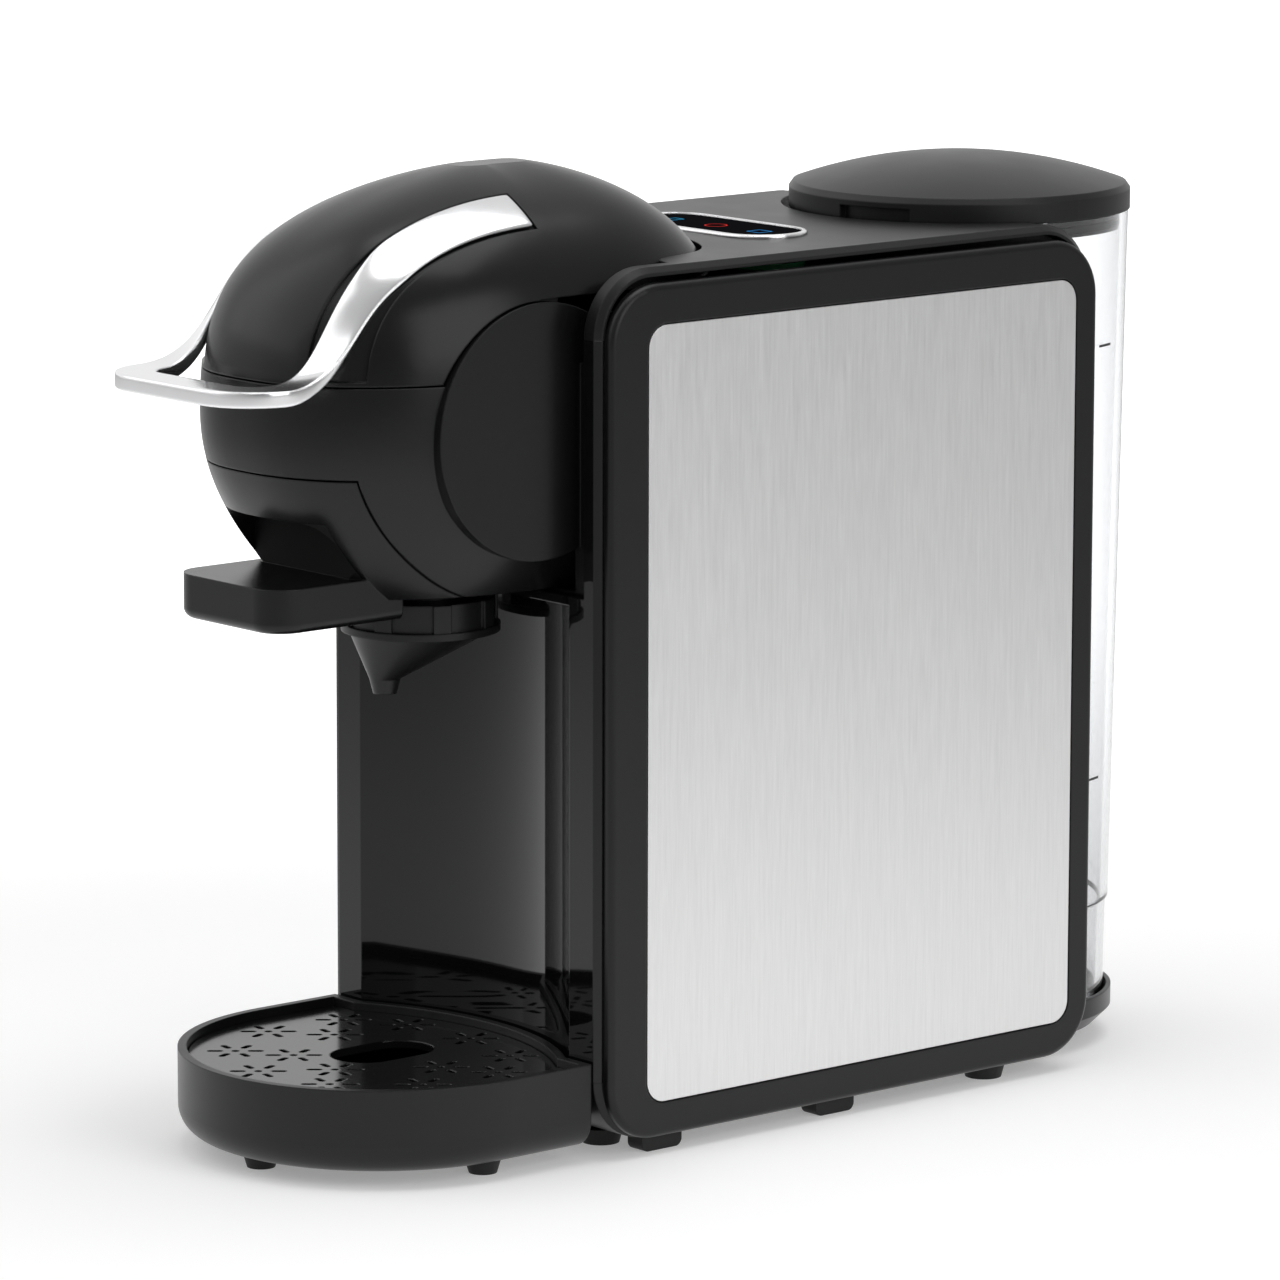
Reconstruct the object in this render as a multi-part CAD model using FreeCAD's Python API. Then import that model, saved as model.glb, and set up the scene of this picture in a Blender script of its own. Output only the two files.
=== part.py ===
import FreeCAD, Part
import math
import os

V = FreeCAD.Vector
TOUCH = 0.01
ALIGNED = 0.9

# Pod coffee machine, in millimetres. +Z is up, the front faces -Y, the origin is on the
# table under the middle of the machine. Driving dimensions come first.

# Housing core: a rounded box between the two side covers.
CORE_HALF = 56.0
CORE_FRONT = -64.5
CORE_REAR = 114.5
CORE_BOTTOM = 4.5
CORE_TOP = 239.0
CORE_CORNER = 18.0
CORE_EDGE = 1.6
WALL = 2.5
BASE_SPLIT = 22.0
TOP_SPLIT = 221.0

# Side covers and the steel plates let into them.
COVER_THICK = 3.0
COVER_FRONT = -62.3
COVER_REAR = 114.2
COVER_BOTTOM = 4.8
COVER_TOP = 235.0
COVER_CORNER = 16.0
COVER_EDGE = 1.8
PLATE_FRONT = -49.2
PLATE_REAR = 105.8
PLATE_BOTTOM = 14.6
PLATE_TOP = 224.0
PLATE_CORNER = 6.0
PLATE_THICK = 0.9
PLATE_POCKET = 1.0
PLATE_GAP = 0.4

# Hollow front of the column, which the drip tray pushes into.
HOLLOW_R = 84.0
HOLLOW_Y = -135.7
HOLLOW_HALF = 45.0
HOLLOW_TOP = 152.0

# Head: superellipse slices, widest at the waist, drawn in to a crown and a belly.
HEAD_HALF = 49.6
HEAD_REACH = 79.2
HEAD_FRONT_MID = -60.0
HEAD_TAIL = 60.4
HEAD_REAR_MID = -50.0
HEAD_POWER = 2.5
HEAD_WAIST = 196.0
HEAD_TOP = 262.7
CROWN_RISE = 0.6
CROWN_POWER = 3.47
CROWN_ROUND = 1.5
HEAD_DROP = 70.2
BELLY_POWER = 1.68
HEAD_FLOOR = 153.0
HEAD_WALL = 2.5
HEAD_BACK = -44.0
SLICE_POINTS = 36
HEAD_OPENING = 50.4
SKIN_GAP = 0.1

# Lid hinge: a shaft across the head, with round cheeks about it.
HINGE_Y = -75.0
HINGE_Z = 197.0
SHAFT_R = 4.0
SHAFT_HALF = 45.0
SHAFT_GAP = 0.05
CHEEK_R = 34.2
CHEEK_IN = 42.0
CHEEK_OUT = 46.0
LID_SEAM = 212.0
LID_REAR_SEAM = 232.0
SEAM_GAP = 0.5
SWEEP_GAP = 1.2

# Lid ribs and the cams that press the brewing piston down.
RIB_IN = 36.5
RIB_OUT = 41.6
RIB_HALF = 9.0
HUB_R = 9.0
CAM_X = 15.0
CAM_HALF = 3.0
CAM_THROW = 6.0
CAM_TIP_R = 3.0
CAM_HUB_R = 5.5
CAM_PLAY = 1.5

# Chrome handle: two arms over the crown, joined by a bar in front.
ARM_INNER = 22.0
ARM_OUTER = 33.5
ARM_REAR = -67.0
ARM_PROUD = 0.4
ARM_INLAY = 1.2
ARM_GAP = 0.5
BAR_FRONT = -164.5
BAR_BACK = -152.3
BAR_TOP = 213.2
BAR_THICK = 4.4
BAR_CORNER = 18.0
BAR_INNER_CORNER = 13.0
BAR_SWEEP = ((-116.0, 229.0), (-126.0, 222.3), (-135.0, 216.2), (-144.0, BAR_TOP))

# Pod drawer under the lid, with the brewing parts about the pod axis.
POD_Y = -79.0
DRAWER_SEAM = 187.4
BAY_HALF = 32.0
BAY_WALL = 2.0
FASCIA_WALL = 3.0
WINDOW_HALF = 21.5
WINDOW_TOP = 174.7
RECESS_BACK = -118.0
RECESS_WALL = 2.0
WINDOW_CORNER = 7.0
SHELF_HALF = 22.5
SHELF_FRONT = -145.7
SHELF_LOW = 147.0
SHELF_TOP = 159.0
SHELF_CORNER = 9.0
SHELF_EDGE = 2.6
CARRIER_GAP = 0.6
CARRIER_REAR = -50.0
CARRIER_Z = 170.0
CARRIER_THICK = 3.0
RUNNER_IN = 29.6
RUNNER_THICK = 2.5
RUNNER_GAP = 0.3
CUP_R = 28.0
CUP_WALL = 1.6
CUP_FLOOR = 157.0
CUP_FLANGE_R = 31.0
CUP_FLANGE = 2.5
OUTLET_R = 24.0
OUTLET_THICK = 1.6
NECK_R = 12.0
NECK_BORE = 4.0
FUNNEL_R = 21.4
FUNNEL_Z = 139.0
FUNNEL_RIM = 2.0
COLLAR_R = 20.0
COLLAR_TOP = 148.5
CLIP_COUNT = 8
CLIP_HALF = 2.5
CLIP_PROUD = 0.9
SPOUT_Y = -91.3
SPOUT_R = 4.2
SPOUT_Z = 127.0
SPOUT_TIP = 123.0
SPOUT_TIP_R = 3.2
SPOUT_WALL = 1.2
BAY_BACK = -49.0
DECK_Z = 183.0
DECK_THICK = 3.0
DECK_FRONT = -112.0
RING_R = 31.0
RING_BORE = 27.05
RING_LOW = 176.4
RING_FLANGE_R = 34.0
RING_FLANGE = 1.5
PISTON_GAP = 0.05
PISTON_LOW = 178.0
PISTON_THICK = 6.0
PISTON_BOSS_R = 20.0
GROOVE_DEPTH = 2.5
GROOVE_WIDTH = 2.0
NEEDLE_RING = 16.0
NEEDLE_R = 1.1
NEEDLE_POINT = 0.1
NEEDLE_TALL = 1.5
NEEDLE_COUNT = 3

# Drip tray and its grid.
TRAY_R = 55.0
TRAY_Y = -92.7
TRAY_GAP = 1.0
TRAY_BOTTOM = 4.0
TRAY_RIM = 27.3
TRAY_WALL = 2.4
TRAY_FLOOR = 2.6
TRAY_EDGE = 8.0
GRID_DROP = 2.3
GRID_THICK = 2.2
GRID_GAP = 0.4
LEDGE_WIDTH = 2.0
LEDGE_THICK = 2.5
LEDGE_GAP = 0.3
GRID_OVAL_X = 19.0
GRID_OVAL_Y = 30.5
PETAL_IN = 3.4
PETAL_OUT = 7.6
PETAL_WIDTH = 1.7
PETAL_COUNT = 6
PETAL_TURN = 50.0
FLOWER_DOT = 1.0
FLOWER_COUNT = 10
FLOWER_RING = 39.5
FLOWER_TURN = -95.0
FLOWER_MARGIN = 1.5
INNER_RING = 24.0
INNER_TURNS = (-120.0, -70.0, 2.0, 174.0)
TRAY_FOOT_R = 5.0
TRAY_FOOT_FRONT = 41.3
TRAY_FOOT_SIDE = 42.6

# Water tank, its seat and its lid, all about one upright axis.
TANK_Y = 116.4
TANK_R = 47.6
TANK_FOOT_R = 44.0
TANK_BOTTOM = 9.3
TANK_RIM = 238.0
TANK_WALL = 2.2
TANK_FLOOR = 2.4
TANK_STEP = 40.2
TANK_STEP_IN = 0.7
NEST_R = 50.3
SEAT_R = 45.6
SEAT_WALL = 1.3
SEAT_FLOOR = 4.5
SEAT_RIM = 14.5
SEAT_EDGE = 4.5
SEAT_GAP = 0.3
SOCKET_R = 9.5
SOCKET_DEPTH = 3.0
SEAL_THICK = 0.6
VALVE_R = 8.9
VALVE_FLANGE_R = 12.0
VALVE_FLANGE = 2.0
VALVE_BORE = 4.0
VALVE_GAP = 0.1
POPPET_HEAD_R = 6.0
POPPET_HEAD = 1.8
FILTER_R = 11.5
FILTER_WALL = 1.0
FILTER_TALL = 15.0
LID_RIM_R = 48.1
LID_RIM_TALL = 6.8
LID_EDGE = 1.2
LID_CROWN = 15.3
LID_WALL = 2.0
LID_LIFT = 0.2
SKIRT_GAP = 0.45
SKIRT_TALL = 5.0
NOTCH_START = 3.5
NOTCH_END = 30.5
NOTCH_DEPTH = 2.2
NOTCH_TALL = 4.0
LID_SEAL_PROUD = 0.2

# Control panel on the top cover.
PANEL_Y = 25.3
LENS_LONG = 59.2
LENS_WIDE = 23.2
BEZEL_BAND = 1.6
BEZEL_SKIRT = 1.0
BEZEL_PROUD = 1.0
BEZEL_EDGE = 0.7
LENS_PROUD = 0.5
BEZEL_DEEP = 7.0
LENS_THICK = 2.6
LIGHT_R = 3.6
LIGHT_THICK = 0.6
BOARD_THICK = 1.6

# Feet and fasteners under the base.
FOOT_R = 6.3
FOOT_TAPER = 1.2
FRONT_FOOT = (37.0, -47.0)
REAR_FOOT = (48.0, 84.0)
TAB_YS = (-40.0, 22.5)
TAB_LONG = 14.0
TAB_WIDE = 6.0
TAB_INSET = 0.2
TAB_EDGE = 2.2
SCREW_R = 1.5
SCREW_GAP = 0.1
SCREW_HEAD_R = 3.0
SCREW_HEAD = 2.0
SCREW_LONG = 7.0
SCREW_SKIN = 1.0
BASE_SCREWS = ((34.0, -8.0), (34.0, 62.0))
GLAND_R = 5.0
GLAND_TALL = 2.5
GLAND_BORE = 3.2
GLAND_WALL = 1.0
GLAND_AT = (-44.0, 62.0)
FLANGE_HALF = 54.0
FLANGE_IN = 44.0
FLANGE_LOW = 150.0
FLANGE_TOP = 214.0
HEAD_SCREW_ZS = (168.0, 205.0)
HEAD_SCREW_X = 52.0

# Works behind the column.
CHASSIS_Y = 19.0
CHASSIS_HALF = 40.0
CHASSIS_TOP = 212.0
PUMP_Y = 42.0
PUMP_R = 17.0
PUMP_LEFT = -40.0
PUMP_RIGHT = 16.0
PUMP_INLET = 4.0
PUMP_OUTLET = 6.0
COIL_LEFT = -22.0
COIL_RIGHT = 10.0
COIL_HALF = 17.5
MOUNT_TALL = 9.0
MOUNT_WIDE = 8.0
HEATER_HALF = 32.0
HEATER_DEEP = 28.0
HEATER_LOW = 95.0
HEATER_TOP = 165.0
FIN_COUNT = 5
FIN_THICK = 3.0
FIN_DEEP = 4.0
METER_X = 34.0
METER_Z = 70.0
METER_R = 14.0
METER_DEEP = 15.5
METER_PORT = 5.0
BOARD_HALF = 38.0
BOARD_LOW = 172.0
BOARD_TOP = 208.0
STANDOFF = 4.0
STANDOFF_R = 2.5
CAN_R = 6.0
CAN_TALL = 12.0
CAN_PITCH = 15.0
HOSE_R = 3.0
HOSE_BORE = 1.8
HOSE_BEND = 8.0
HOSE_CLEAR = 1.0

# Values that follow from the ones above.
FLOOR_TOP = CORE_BOTTOM + WALL
CHASSIS_BACK = CHASSIS_Y + WALL
COVER_OUT = CORE_HALF + COVER_THICK
PISTON_TOP = HINGE_Z - CAM_THROW - CAM_TIP_R - CAM_PLAY
GRID_TOP = TRAY_RIM - GRID_DROP
GRID_LOW = GRID_TOP - GRID_THICK
PISTON_R = RING_BORE - PISTON_GAP
COIL_LOW = FLOOR_TOP + MOUNT_TALL
PUMP_Z = COIL_LOW + COIL_HALF
LIGHT_PITCH = (LENS_LONG - LENS_WIDE) / 2
FLANGE_BACK = CORE_FRONT + 2 * WALL


def box(x0, x1, y0, y1, z0, z1):
    return Part.makeBox(x1 - x0, y1 - y0, z1 - z0, V(x0, y0, z0))


def mid_box(half, y0, y1, z0, z1):
    return box(-half, half, y0, y1, z0, z1)


def post(r, x, y, z0, z1):
    return Part.makeCylinder(r, z1 - z0, V(x, y, z0))


def cross_post(r, x0, x1, y, z):
    return Part.makeCylinder(r, x1 - x0, V(x0, y, z), V(1, 0, 0))


def spin(profile, x, y):
    """Solid of revolution about an upright axis from (radius, height) points."""
    points = [V(x + r, y, z) for r, z in profile]
    face = Part.Face(Part.makePolygon(points + points[:1]))
    return face.revolve(V(x, y, 0), V(0, 0, 1), 360)


def both_sides(make):
    """One piece for each side of the machine, the second a mirror of the first."""
    right = make()
    return [right, right.mirror(V(0, 0, 0), V(1, 0, 0))]


def fuse(shapes):
    return shapes[0].multiFuse(shapes[1:]).removeSplitter()


def write(name, *solids):
    """Save a sub-part; several separate solids share one file."""
    found = [solid for shape in solids for solid in shape.Solids]
    shape = found[0] if len(found) == 1 else Part.makeCompound(found)
    shape.exportStep("parts/" + name + ".step")


def edges_along(shape, axis):
    """Straight edges of a block that run along an axis."""
    return [e for e in shape.Edges if abs(e.tangentAt(0).dot(axis)) > ALIGNED]


def rounded_rect(y0, y1, z0, z1, corner, x0, x1):
    """Rounded rectangle in the side view, as thick as x0 to x1."""
    slab = box(x0, x1, y0, y1, z0, z1)
    return slab.makeFillet(corner, edges_along(slab, V(1, 0, 0)))


def round_front(slab, front, r):
    """Round the two upright edges at the front of a block."""
    edges = [e for e in edges_along(slab, V(0, 0, 1)) if e.CenterOfMass.y < front + TOUCH]
    return slab.makeFillet(r, edges)


def obround_wire(half_x, half_y, cx, cy, z):
    """Wire of a stadium that is longest along X or Y."""
    if half_x > half_y:
        along, across, reach, r = V(1, 0, 0), V(0, 1, 0), half_x - half_y, half_y
    else:
        along, across, reach, r = V(0, 1, 0), V(-1, 0, 0), half_y - half_x, half_x
    mid = V(cx, cy, z)
    far, near = mid + along * reach, mid - along * reach
    first = Part.LineSegment(near - across * r, far - across * r)
    turn = Part.Arc(far - across * r, far + along * r, far + across * r)
    second = Part.LineSegment(far + across * r, near + across * r)
    back = Part.Arc(near + across * r, near - along * r, near - across * r)
    return Part.Wire([c.toShape() for c in (first, turn, second, back)])


def obround(long, wide, cx, cy, z0, z1):
    wire = obround_wire(long / 2, wide / 2, cx, cy, z0)
    return Part.Face(wire).extrude(V(0, 0, z1 - z0))


def hinge_roll(r, half):
    """Cylinder about the lid's hinge axis."""
    return cross_post(r, -half, half, HINGE_Y, HINGE_Z)


def head_factor(z, grow):
    """How far the head's slice at height z reaches, from 0 to 1."""
    if z >= HEAD_WAIST:
        rise = (z - HEAD_WAIST) / (HEAD_TOP + grow + CROWN_RISE - HEAD_WAIST)
        return (1 - rise ** CROWN_POWER) ** (1 / CROWN_ROUND)
    drop = (HEAD_WAIST - z) / (HEAD_DROP + grow)
    return (1 - drop ** BELLY_POWER) ** (1 / BELLY_POWER)


def head_point(turn, z, grow):
    """Point of the head's skin, grown outwards by a distance."""
    f = head_factor(z, grow)
    c, s = math.cos(turn), math.sin(turn)
    x = math.copysign(abs(c) ** (2 / HEAD_POWER), c) * (HEAD_HALF + grow) * f
    side = math.copysign(abs(s) ** (2 / HEAD_POWER), s)
    if s > 0:
        return V(x, HEAD_REAR_MID + side * (HEAD_TAIL + grow) * f, z)
    return V(x, HEAD_FRONT_MID + side * (HEAD_REACH + grow) * f, z)


def head_heights(low, grow):
    """Slice heights, closer together where the crown turns over."""
    top = HEAD_TOP + grow
    belly = [low + (HEAD_WAIST - low) * i / 4 for i in range(4)]
    crown = [1 - (1 - i / 9) ** 2 for i in range(10)]
    return belly + [HEAD_WAIST + (top - HEAD_WAIST) * c for c in crown]


def head_form(grow):
    """The head's whole outer form, from below its floor to its crown."""
    wires = []
    for z in head_heights(HEAD_FLOOR - HEAD_WALL, grow):
        turns = [2 * math.pi * i / SLICE_POINTS for i in range(SLICE_POINTS)]
        curve = Part.BSplineCurve()
        curve.interpolate([head_point(t, z, grow) for t in turns], PeriodicFlag=True)
        wires.append(Part.Wire([curve.toShape()]))
    return Part.makeLoft(wires, True, False)


def lid_sweep():
    """Room that the lid's rear turns through: its reach at each X, spun about the hinge."""
    turns = [math.pi * i / 60 for i in range(61)]
    heights = [LID_REAR_SEAM + (HEAD_TOP - LID_REAR_SEAM) * i / 40 for i in range(40)]
    skin = [head_point(t, z, 0) for t in turns for z in heights]
    rows = []
    for i in range(8):
        x = HEAD_HALF * i / 8
        near = [p for p in skin if p.x >= x]
        reach = max(math.hypot(p.y - HINGE_Y, p.z - HINGE_Z) for p in near)
        rows.append((x, reach + SWEEP_GAP))
    rows.append((HEAD_OPENING, rows[-1][1] - 2 * SWEEP_GAP))
    right = [V(x, HINGE_Y, HINGE_Z + r) for x, r in rows]
    left = [V(-p.x, p.y, p.z) for p in reversed(right[1:])]
    curve = Part.BSplineCurve()
    curve.interpolate(left + right)
    foot = [V(HEAD_OPENING, HINGE_Y, HINGE_Z), V(-HEAD_OPENING, HINGE_Y, HINGE_Z)]
    base = Part.makePolygon([right[-1]] + foot + [left[0]])
    face = Part.Face(Part.Wire([curve.toShape()] + base.Edges))
    return face.revolve(V(0, HINGE_Y, HINGE_Z), V(1, 0, 0), 360)


FORM = head_form(0)
LINING = head_form(-HEAD_WALL)
SWEEP = lid_sweep()


def hollow(r, z0, z1):
    return post(r, 0, HOLLOW_Y, z0, z1)


def nest(r, z0, z1):
    return post(r, 0, TANK_Y, z0, z1)


def core_inside(half):
    """Space inside the core's band of wall."""
    return rounded_rect(CORE_FRONT + WALL, CORE_REAR - WALL, FLOOR_TOP, CORE_TOP - WALL,
                        CORE_CORNER - WALL, -half, half)


def core_ring():
    """Band of wall that goes round the core: bottom, front, top and rear."""
    outer = rounded_rect(CORE_FRONT, CORE_REAR, CORE_BOTTOM, CORE_TOP, CORE_CORNER, -CORE_HALF, CORE_HALF)
    rims = [e for e in outer.Edges if abs(abs(e.CenterOfMass.x) - CORE_HALF) < TOUCH]
    outer = outer.makeChamfer(CORE_EDGE, rims)
    return outer.cut(core_inside(2 * CORE_HALF))


RING = core_ring()


def base_plate():
    plate = RING.common(mid_box(CORE_HALF, CORE_FRONT, CORE_REAR, CORE_BOTTOM, BASE_SPLIT))
    plate = plate.cut(hollow(HOLLOW_R, 0, FLOOR_TOP)).cut(hollow(HOLLOW_R + WALL, FLOOR_TOP, BASE_SPLIT))
    plate = plate.cut(nest(SEAT_R, 0, SEAT_RIM + SEAT_GAP)).cut(nest(NEST_R + WALL, SEAT_RIM, BASE_SPLIT))
    holes = [post(SCREW_R + SCREW_GAP, s * x, y, 0, FLOOR_TOP) for x, y in BASE_SCREWS for s in (-1, 1)]
    holes.append(post(GLAND_BORE, *GLAND_AT, 0, FLOOR_TOP))
    return plate.cut(Part.makeCompound(holes))


def front_cover():
    strips = RING.common(mid_box(CORE_HALF, CORE_FRONT, 0, BASE_SPLIT, TOP_SPLIT))
    strips = strips.cut(mid_box(HOLLOW_HALF, CORE_FRONT, 0, BASE_SPLIT, HOLLOW_TOP))
    strips = strips.cut(mid_box(HEAD_OPENING, CORE_FRONT, 0, HOLLOW_TOP, CORE_TOP))
    curve = hollow(HOLLOW_R + WALL, FLOOR_TOP, HOLLOW_TOP).cut(hollow(HOLLOW_R, 0, HOLLOW_TOP - WALL))
    curve = curve.common(mid_box(HOLLOW_HALF + WALL, CORE_FRONT, 0, FLOOR_TOP, HOLLOW_TOP))
    holes = [cross_screw(s * HEAD_SCREW_X, z, SCREW_R + SCREW_GAP) for z in HEAD_SCREW_ZS for s in (-1, 1)]
    return fuse([strips, curve]).cut(Part.makeCompound(holes))


def cross_screw(x, z, r):
    """Screw shank from behind the head's flange into the column's front wall."""
    return Part.makeCylinder(r, 2 * WALL, V(x, CORE_FRONT + SCREW_SKIN / 2, z), V(0, 1, 0))


def top_cover():
    cap = RING.common(mid_box(CORE_HALF, CORE_FRONT, CORE_REAR, TOP_SPLIT, CORE_TOP))
    cap = cap.cut(SWEEP).cut(nest(NEST_R, TOP_SPLIT, CORE_TOP))
    return cap.cut(panel(BEZEL_SKIRT, 0, CORE_TOP))


def rear_cover():
    strips = RING.common(mid_box(CORE_HALF, CORE_REAR - CORE_CORNER, CORE_REAR, BASE_SPLIT, TOP_SPLIT))
    strips = strips.cut(nest(NEST_R, 0, CORE_TOP))
    wall = nest(NEST_R + WALL, SEAT_RIM + SEAT_GAP, CORE_TOP - WALL).cut(nest(NEST_R, 0, CORE_TOP))
    return fuse([strips, wall.common(core_inside(CORE_HALF))])


def side_cover():
    slab = rounded_rect(COVER_FRONT, COVER_REAR, COVER_BOTTOM, COVER_TOP, COVER_CORNER, CORE_HALF, COVER_OUT)
    rims = [e for e in slab.Edges if abs(e.CenterOfMass.x - COVER_OUT) < TOUCH]
    slab = slab.makeFillet(COVER_EDGE, rims)
    pocket = rounded_rect(PLATE_FRONT - PLATE_GAP, PLATE_REAR + PLATE_GAP, PLATE_BOTTOM - PLATE_GAP,
                          PLATE_TOP + PLATE_GAP, PLATE_CORNER + PLATE_GAP, COVER_OUT - PLATE_POCKET,
                          COVER_OUT + COVER_THICK)
    return slab.cut(pocket)


def side_plate():
    low = COVER_OUT - PLATE_POCKET
    high = low + PLATE_THICK
    return rounded_rect(PLATE_FRONT, PLATE_REAR, PLATE_BOTTOM, PLATE_TOP, PLATE_CORNER, low, high)


def foot(r, x, y, high):
    """A round foot that narrows towards the table."""
    return Part.makeCone(r - FOOT_TAPER, r, high, V(x, y, 0))


def side_tab(x, y):
    tab = box(x - TAB_WIDE, x, y - TAB_LONG / 2, y + TAB_LONG / 2, 0, CORE_BOTTOM)
    return tab.makeFillet(TAB_EDGE, [e for e in edges_along(tab, V(1, 0, 0)) if e.CenterOfMass.z < TOUCH])


def round_feet():
    spots = [(s * x, y) for x, y in (FRONT_FOOT, REAR_FOOT) for s in (-1, 1)]
    return [foot(FOOT_R, x, y, CORE_BOTTOM) for x, y in spots]


def side_feet():
    out = CORE_HALF - CORE_EDGE - TAB_INSET
    tabs = [side_tab(out, y) for y in TAB_YS]
    return tabs + [tab.mirror(V(0, 0, 0), V(1, 0, 0)) for tab in tabs]


def base_screws():
    screws = []
    for x, y in BASE_SCREWS:
        for side in (-1, 1):
            head = post(SCREW_HEAD_R, side * x, y, CORE_BOTTOM - SCREW_HEAD, CORE_BOTTOM)
            shank = post(SCREW_R, side * x, y, CORE_BOTTOM, CORE_BOTTOM + SCREW_LONG)
            screws.append(fuse([head, shank]))
    return screws


def cord_gland():
    x, y = GLAND_AT
    low, high, inner = CORE_BOTTOM - GLAND_TALL, FLOOR_TOP + WALL, GLAND_BORE - GLAND_WALL
    return spin([(inner, low), (GLAND_R, low), (GLAND_R, CORE_BOTTOM), (GLAND_BORE, CORE_BOTTOM),
                 (GLAND_BORE, high), (inner, high)], x, y)


def panel(band, z0, z1):
    """The lens's outline with a band round it."""
    return obround(LENS_LONG + 2 * band, LENS_WIDE + 2 * band, 0, PANEL_Y, z0, z1)


def control_bezel():
    low, high = CORE_TOP - BEZEL_DEEP, CORE_TOP + BEZEL_PROUD
    rim = panel(BEZEL_BAND, CORE_TOP, high)
    rim = rim.makeFillet(BEZEL_EDGE, [e for e in rim.Edges if e.BoundBox.ZMin > CORE_TOP])
    return fuse([rim, panel(BEZEL_SKIRT, low, CORE_TOP)]).cut(panel(0, low, high))


def light_disc(i):
    top = CORE_TOP + LENS_PROUD
    return post(LIGHT_R, (i - 1) * LIGHT_PITCH, PANEL_Y, top - LIGHT_THICK, top)


def control_lens():
    top = CORE_TOP + LENS_PROUD
    return panel(0, top - LENS_THICK, top).cut(Part.makeCompound([light_disc(i) for i in range(3)]))


def control_board():
    top = CORE_TOP - BEZEL_DEEP
    return panel(BEZEL_SKIRT, top - BOARD_THICK, top)


def tank_seat():
    top = TANK_BOTTOM - SEAT_GAP
    inner = SEAT_R - SEAT_WALL
    dish = spin([(0, SEAT_FLOOR), (SEAT_R - SEAT_EDGE, SEAT_FLOOR), (SEAT_R, SEAT_FLOOR + SEAT_EDGE),
                 (SEAT_R, SEAT_RIM), (inner, SEAT_RIM), (inner, top), (0, top)], 0, TANK_Y)
    return dish.cut(post(SOCKET_R, 0, TANK_Y, top - SOCKET_DEPTH, top))


def seat_seal():
    low = TANK_BOTTOM - SEAT_GAP - SOCKET_DEPTH
    ring = post(SOCKET_R - VALVE_GAP, 0, TANK_Y, low, low + SEAL_THICK)
    return ring.cut(post(VALVE_BORE, 0, TANK_Y, low, low + SEAL_THICK))


def chassis():
    return mid_box(CHASSIS_HALF, CHASSIS_Y, CHASSIS_BACK, FLOOR_TOP, CHASSIS_TOP)


def water_pump():
    barrel = cross_post(PUMP_R, PUMP_LEFT, PUMP_RIGHT, PUMP_Y, PUMP_Z)
    nozzle = cross_post(PUMP_R / 2, PUMP_LEFT - PUMP_INLET, PUMP_RIGHT + PUMP_OUTLET, PUMP_Y, PUMP_Z)
    front, back = PUMP_Y - COIL_HALF, PUMP_Y + COIL_HALF
    coil = box(COIL_LEFT, COIL_RIGHT, front, back, COIL_LOW, COIL_LOW + 2 * COIL_HALF)
    return fuse([barrel, nozzle, coil])


def pump_mounts():
    front, back = PUMP_Y - COIL_HALF, PUMP_Y + COIL_HALF
    lefts = (COIL_LEFT, COIL_RIGHT - MOUNT_WIDE)
    return [box(x, x + MOUNT_WIDE, front, back, FLOOR_TOP, COIL_LOW) for x in lefts]


def thermoblock():
    back = CHASSIS_BACK + HEATER_DEEP
    block = mid_box(HEATER_HALF, CHASSIS_BACK, back, HEATER_LOW, HEATER_TOP)
    step = (HEATER_TOP - HEATER_LOW) / FIN_COUNT
    lows = [HEATER_LOW + i * step for i in range(FIN_COUNT)]
    fins = [mid_box(HEATER_HALF, back, back + FIN_DEEP, z, z + FIN_THICK) for z in lows]
    return fuse([block] + fins)


def rear_post(r, long, x, y, z):
    """Cylinder that points to the rear."""
    return Part.makeCylinder(r, long, V(x, y, z), V(0, 1, 0))


def meter_drum():
    return rear_post(METER_R, METER_DEEP, METER_X, CHASSIS_BACK, METER_Z)


def flow_meter():
    return fuse([meter_drum(), rear_post(METER_R / 2, FIN_DEEP, METER_X, CHASSIS_BACK + METER_DEEP, METER_Z)])


def main_board():
    front = CHASSIS_BACK + STANDOFF
    back = front + BOARD_THICK
    plate = mid_box(BOARD_HALF, front, back, BOARD_LOW, BOARD_TOP)
    inset = 2 * STANDOFF_R
    legs = [rear_post(STANDOFF_R, STANDOFF, s * (BOARD_HALF - inset), CHASSIS_BACK, z)
            for s in (-1, 1) for z in (BOARD_LOW + inset, BOARD_TOP - inset)]
    mid = (BOARD_LOW + BOARD_TOP) / 2
    cans = [rear_post(CAN_R, CAN_TALL, i * CAN_PITCH, back, mid) for i in (-1, 0, 1)]
    return fuse([plate] + legs + cans)


def hose(points):
    """Tube along straight runs joined by tangent arcs of one radius."""
    edges = []
    start = points[0]
    for before, corner, after in zip(points, points[1:], points[2:]):
        into = (corner - before).normalize()
        away = (after - corner).normalize()
        first = corner - into * HOSE_BEND
        last = corner + away * HOSE_BEND
        middle = corner + (away - into).normalize() * (HOSE_BEND * (math.sqrt(2) - 1))
        edges.append(Part.LineSegment(start, first).toShape())
        edges.append(Part.Arc(first, middle, last).toShape())
        start = last
    edges.append(Part.LineSegment(start, points[-1]).toShape())
    path = Part.Wire(edges)
    along = (points[1] - points[0]).normalize()
    tubes = [path.makePipeShell([Part.Wire([Part.makeCircle(r, points[0], along)])], True, False)
             for r in (HOSE_R, HOSE_BORE)]
    return tubes[0].cut(tubes[1])


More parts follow.
